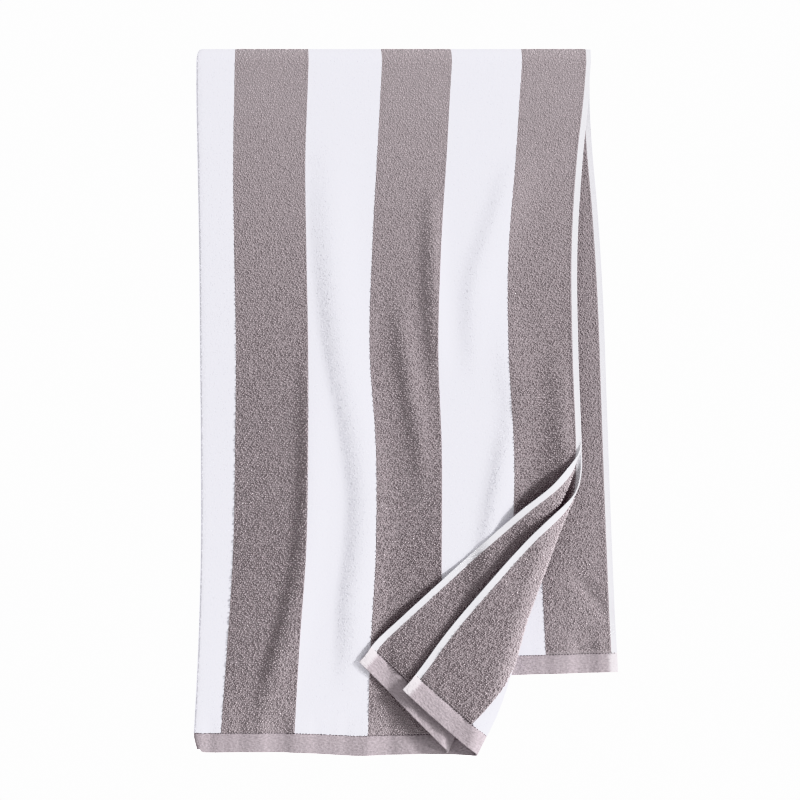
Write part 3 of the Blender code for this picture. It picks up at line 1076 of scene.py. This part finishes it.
@dataclass
class SeamStitches:
    """The stitches that hold both hems, as seen on both sides of the cloth. Sizes in mm."""

    hanging: Hanging
    finish: CottonFinish
    length: float = 2.9
    step: float = 3.4
    breadth: float = 1.6
    inset: float = 0.4  # from the seam into the hem
    shoulder: float = 0.6  # how far out a stitch stays thick, as a share of its half length

    def build(self) -> bpy.types.Object:
        """Build the stitches as one piece.

        Returns:
            The finished piece.
        """
        cloth = self.hanging.cloth
        reach = cloth.half - self.step * MM
        row = np.arange(-reach, reach, self.step * MM)
        place = cloth.hem - self.inset * MM
        across = np.concatenate([row] * 4)
        along = np.repeat([place, place, cloth.length - place, cloth.length - place], len(row))
        side = np.repeat([1.0, -1.0, 1.0, -1.0], len(row))[:, None]
        points, run, climb, out, _ = self.hanging.frames(across, along)
        up = out * side
        middle = points + up * cloth.ground * cloth.groove_share / 2
        long_way = run * self.length / 2 * MM
        wide_way, high_way = climb * self.breadth / 2 * MM, up * self.breadth / 2 * MM
        ring = (wide_way, high_way, -wide_way, -high_way)
        sides = len(ring)
        corners = [middle - long_way - high_way, middle + long_way - high_way]
        for share in (-self.shoulder, self.shoulder):
            corners += [middle + long_way * share + way for way in ring]
        faces = []
        for at in range(sides):
            here, after = 2 + at, 2 + (at + 1) % sides
            faces += [(0, after, here), (1, here + sides, after + sides)]
            faces += [(here, after, after + sides), (here, after + sides, here + sides)]
        faces = np.tile(np.array(faces), (len(points), 1, 1))
        faces = np.where(side[:, :, None] < 0, faces[:, :, ::-1], faces)
        flat = np.stack([across, along])
        return piece_of_many("hem_stitches", np.stack(corners, axis=1), faces, flat, self.finish)


@dataclass
class Towel:
    """The whole towel: its sheet, its loops and its stitches. Places on the flat cloth are in mm.

    Loops stand where they can be seen: all over the outer layer's face, on its reverse in the turned-up
    corner, and on the inner layer in its own corner, low in the front and along the back's edge.
    """

    cloth: Cloth = Cloth()
    past_fold: float = 4.0  # how far round the lengthwise fold the outer layer's loops go
    front_split: float = 200.0  # where the front's loops are parted into two pieces
    back_split: float = 220.0
    flap_side: float = 280.0  # from here to the selvedge the corners' loops stand
    flap_top: float = 360.0
    flap_seam_gap: float = 1.8
    flap_loosening: tuple[tuple[float, float], ...] = ((0, 1.0), (360, 0.95))
    half_turned: float = 0.5  # how far round its roll the outer corner goes before it shows its reverse
    roll_turned: tuple[float, float] = (0.05, 0.999)  # where the inner corner's roll shows its reverse
    edge_side: float = 350.0  # from here to the selvedge the back's inner layer shows
    edge_above: float = 20.0  # and from so far short of the rail's back
    low_top: float = 130.0  # how high up the inner layer's low loops go

    def _loops(self, hanging: Hanging) -> list[Pile]:
        """List the stretches of loops.

        Args:
            hanging: how the cloth hangs.

        Returns:
            The stretches, not built yet.
        """
        half, end, top = self.cloth.half / MM, self.cloth.length / MM, hanging.front_drop / MM
        loops = TerryLoops(self.cloth, "terry_loops")
        front, back, flap, low = (0, top), (top, end), (0, self.flap_top), (0, self.low_top)
        edge = (top + hanging.loop_turn / MM - self.edge_above, end)
        inner = (-half, -self.flap_side)
        shown = (0.0, self.half_turned)
        turned = (self.half_turned, 1.0)
        loose = {"seam_gap": self.flap_seam_gap, "loosening": self.flap_loosening}
        face, reverse = Side.FACE, Side.REVERSE
        return [
            Pile(hanging, "front_pile_left", face, (-self.past_fold, self.front_split), front, loops, shown),
            Pile(hanging, "front_pile_right", face, (self.front_split, half), front, loops, shown, seed=8),
            Pile(hanging, "back_pile_left", face, (-self.past_fold, self.back_split), back, loops, seed=9),
            Pile(hanging, "back_pile_right", face, (self.back_split, half), back, loops, seed=10),
            Pile(hanging, "back_edge_pile", face, (-half, -self.edge_side), edge, loops,
                 seam_gap=self.flap_seam_gap, seed=11),
            Pile(hanging, "corner_pile_outer", reverse, (self.flap_side, half), flap, loops, turned,
                 seed=12, **loose),
            Pile(hanging, "corner_pile_inner", face, inner, flap, loops, seed=13, **loose),
            Pile(hanging, "roll_pile_inner", reverse, inner, flap, loops, self.roll_turned, seed=15),
            Pile(hanging, "low_pile_inner", face, (-self.flap_side, -self.past_fold), low, loops, seed=14),
        ]

    def build(self) -> list[bpy.types.Object]:
        """Build and declare every piece.

        Returns:
            The pieces.
        """
        hanging = Hanging(self.cloth)
        sheet = TerrySheet(hanging, finishes=(
            TerryGround(self.cloth, "terry_ground"),
            FlatWovenHem(self.cloth, "flat_woven_hem"),
            WovenSelvedge(self.cloth, "woven_selvedge"),
        )).build()
        on_sheet = [pile.build() for pile in self._loops(hanging)]
        on_sheet.append(SeamStitches(hanging, SewingThread(self.cloth, "sewing_thread")).build())
        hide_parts(SOLID)
        pieces = [sheet, *on_sheet]
        for piece in pieces:
            LOG.info("%s: %d faces", piece.name, len(piece.data.polygons))
            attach(piece, BODY)
        return pieces


@dataclass(frozen=True)
class Lamp:
    """One soft lamp: its power in watts, its size, place and aim in metres, and its beam in degrees."""

    name: str
    power: float
    size: float
    place: tuple[float, float, float]
    aim: tuple[float, float, float]
    beam: float = 180.0

    def build(self) -> None:
        """Hang the lamp."""
        light = bpy.data.lights.new(self.name, "AREA")
        light.energy = self.power
        light.size = self.size
        light.spread = math.radians(self.beam)
        lamp = bpy.data.objects.new(self.name, light)
        lamp.location = self.place
        lamp.rotation_euler = (Vector(self.aim) - Vector(self.place)).to_track_quat("-Z", "Y").to_euler()
        bpy.context.scene.collection.objects.link(lamp)


@dataclass
class Studio:
    """A plain pale floor, a pale room, soft lamps at the right, above and behind, and the camera. Metres."""

    top_edge: float
    photo_width: float = 0.904  # what the photograph is wide at the towel's front
    photo_centre: float = 0.0096  # where its middle lies across
    photo_centre_below: float = 0.3996  # and how far below the top edge
    distance: float = 3.2  # from the camera to the towel's front
    front: float = -0.0185  # where that front lies
    floor_height: float = -1.25
    floor_radius: float = 1.6
    floor_sides: int = 64
    floor_white: str = "#EDEDED"
    floor_roughness: float = 0.8
    room_light: float = 0.46  # how brightly the room lights the towel
    shown_white: float = 5.0  # how bright the camera sees the room: as white as the photograph's ground
    lamps: tuple[Lamp, ...] = (
        Lamp("key", 610.0, 0.8, (5.875, -3.125, 1.225), (0.0, 0.0, -0.4)),  # rakes over the folds
        Lamp("top", 2.8, 0.9, (0.0, -0.55, 0.55), (0.0, 0.0, -0.2)),  # fades down from the rail
        Lamp("low", 0.6, 0.4, (2.9, -1.55, -1.0), (-0.05, 0.0, -0.86), 20.0),  # on the corners' hems
        Lamp("back", 120.0, 0.8, (-2.7, 1.7, 0.3), (0.0, 0.0, -0.4)),  # on the lengthwise fold's edge
    )

    def _room(self) -> None:
        """Light the room evenly, and show it white."""
        world = bpy.data.worlds.new("pale_room")
        bpy.context.scene.world = world
        world.use_nodes = True
        tree = world.node_tree
        shown = add_node(tree, "ShaderNodeLightPath").outputs["Is Camera Ray"]
        light = {"Value": shown, "To Min": self.room_light, "To Max": self.shown_white}
        strength = add_node(tree, "ShaderNodeMapRange", light).outputs[0]
        feed(tree, tree.nodes["Background"], {"Color": (1.0, 1.0, 1.0, 1.0), "Strength": strength})

    def _floor(self) -> None:
        """Lay the floor, far below the towel."""
        bpy.ops.object.select_all(action="DESELECT")
        bpy.ops.mesh.primitive_circle_add(
            vertices=self.floor_sides, radius=self.floor_radius, fill_type="NGON",
            location=(0.0, 0.0, self.floor_height),
        )
        floor = bpy.context.object
        floor.name = "floor"
        material = bpy.data.materials.new("painted_floor")
        material.use_nodes = True
        tree = material.node_tree
        paint = {"Base Color": linear(self.floor_white), "Roughness": self.floor_roughness}
        feed(tree, tree.nodes["Principled BSDF"], paint)
        floor.data.materials.append(material)

    def _camera(self) -> None:
        """Set up the camera, level and square to the towel's front."""
        lens = bpy.data.cameras.new("camera")
        lens.lens = lens.sensor_width * self.distance / self.photo_width
        camera = bpy.data.objects.new("camera", lens)
        height = self.top_edge - self.photo_centre_below
        camera.location = (self.photo_centre, self.front - self.distance, height)
        camera.rotation_euler = (math.pi / 2, 0.0, 0.0)
        bpy.context.scene.collection.objects.link(camera)
        bpy.context.scene.camera = camera

    def build(self) -> None:
        """Set up the room, the floor, the light and the camera."""
        bpy.context.scene.view_settings.view_transform = "Khronos PBR Neutral"
        self._room()
        self._floor()
        for lamp in self.lamps:
            lamp.build()
        self._camera()


def main() -> None:
    """Build the towel and its studio, and report each piece."""
    logging.basicConfig(level=logging.INFO, format="%(name)s: %(message)s")
    towel = Towel()
    pieces = towel.build()
    LOG.info("towel: %d pieces", len(pieces))
    Studio(Hanging(towel.cloth).top_edge).build()


if __name__ == "__main__":
    main()
